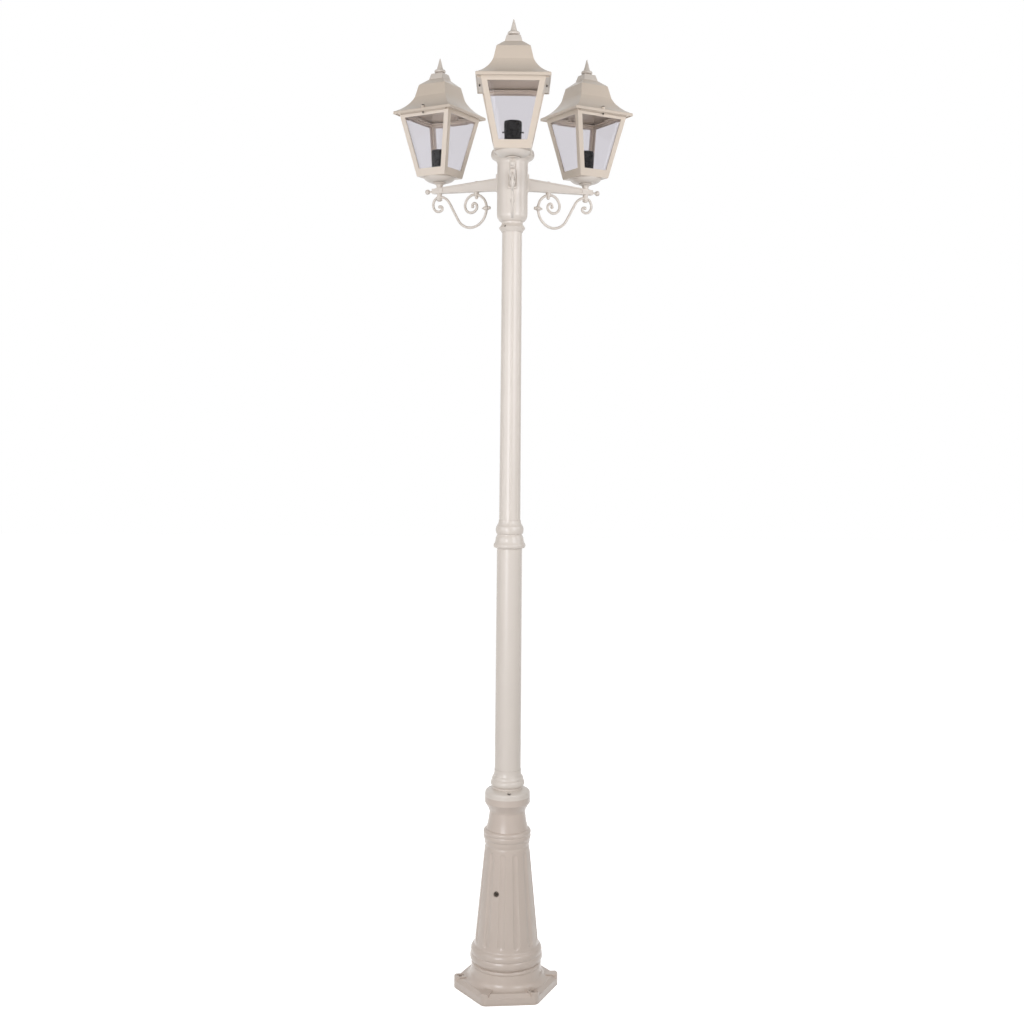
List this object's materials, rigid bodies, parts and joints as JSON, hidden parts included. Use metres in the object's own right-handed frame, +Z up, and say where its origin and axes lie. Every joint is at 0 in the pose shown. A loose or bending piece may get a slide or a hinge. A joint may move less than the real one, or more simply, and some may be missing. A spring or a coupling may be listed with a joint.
{
  "type": "triple head lamp post",
  "caption": "Cast garden lamp post with a fluted base, a stepped pole and square lanterns on scrolled arms; each lantern's roof lifts off to change its lamp.",
  "frame": {"origin": "centre of the base plate's underside, on the post's axis", "axes": "+Z up the post; the front arm points along -Y; +X to the right seen from the front"},
  "size_m": [0.6628, 0.574, 2.6],
  "materials": {
    "coated_metal": "gloss powder coat, cream beige",
    "dark_steel": "blackened steel screws",
    "glass": "clear with a faint lavender tint, bevelled edges",
    "black_plastic": "black moulded holder",
    "brass": "plain",
    "terminal_plastic": "moulded"
  },
  "bodies": {
    "post": {"arm_bolts": "dark_steel", "arm_front": "coated_metal", "arm_left": "coated_metal", "arm_right": "coated_metal", "ball_finial_front": "coated_metal", "ball_finial_left": "coated_metal", "ball_finial_right": "coated_metal", "base_casting": "coated_metal", "column": "coated_metal", "column_cap": "coated_metal", "dish_front": "coated_metal", "dish_left": "coated_metal", "dish_right": "coated_metal", "earth_screw": "dark_steel", "foot_collar": "coated_metal", "foot_collar_screws": "dark_steel", "glass_front": "glass", "glass_left": "glass", "glass_right": "glass", "holder_screws_front": "dark_steel", "holder_screws_left": "dark_steel", "holder_screws_right": "dark_steel", "lamp_socket_front": "brass", "lamp_socket_left": "brass", "lamp_socket_right": "brass", "lampholder_front": "black_plastic", "lampholder_left": "black_plastic", "lampholder_right": "black_plastic", "lantern_frame_front": "coated_metal", "lantern_frame_left": "coated_metal", "lantern_frame_right": "coated_metal", "lower_pole": "coated_metal", "mid_collar": "coated_metal", "pole_ring": "coated_metal", "ring_grub_screw": "dark_steel", "rod_nuts": "coated_metal", "scroll_fixings": "coated_metal", "scroll_front": "coated_metal", "scroll_knob_front": "coated_metal", "scroll_knob_left": "coated_metal", "scroll_knob_right": "coated_metal", "scroll_left": "coated_metal", "scroll_right": "coated_metal", "stem_front": "coated_metal", "stem_left": "coated_metal", "stem_right": "coated_metal", "terminal_block": "terminal_plastic", "upper_pole": "coated_metal"},
    "lid_front": {"roof_front": "coated_metal", "roof_finial_front": "coated_metal", "roof_screws_front": "dark_steel"},
    "lid_right": {"roof_right": "coated_metal", "roof_finial_right": "coated_metal", "roof_screws_right": "dark_steel"},
    "lid_left": {"roof_left": "coated_metal", "roof_finial_left": "coated_metal", "roof_screws_left": "dark_steel"}
  },
  "joints": [
    {"name": "lift_roof_front", "type": "slide", "parent": "post", "child": "lid_front", "axis": [0, 0, 1], "range_m": [0, 0.12]},
    {"name": "lift_roof_right", "type": "slide", "parent": "post", "child": "lid_right", "axis": [0, 0, 1], "range_m": [0, 0.12]},
    {"name": "lift_roof_left", "type": "slide", "parent": "post", "child": "lid_left", "axis": [0, 0, 1], "range_m": [0, 0.12]}
  ]
}
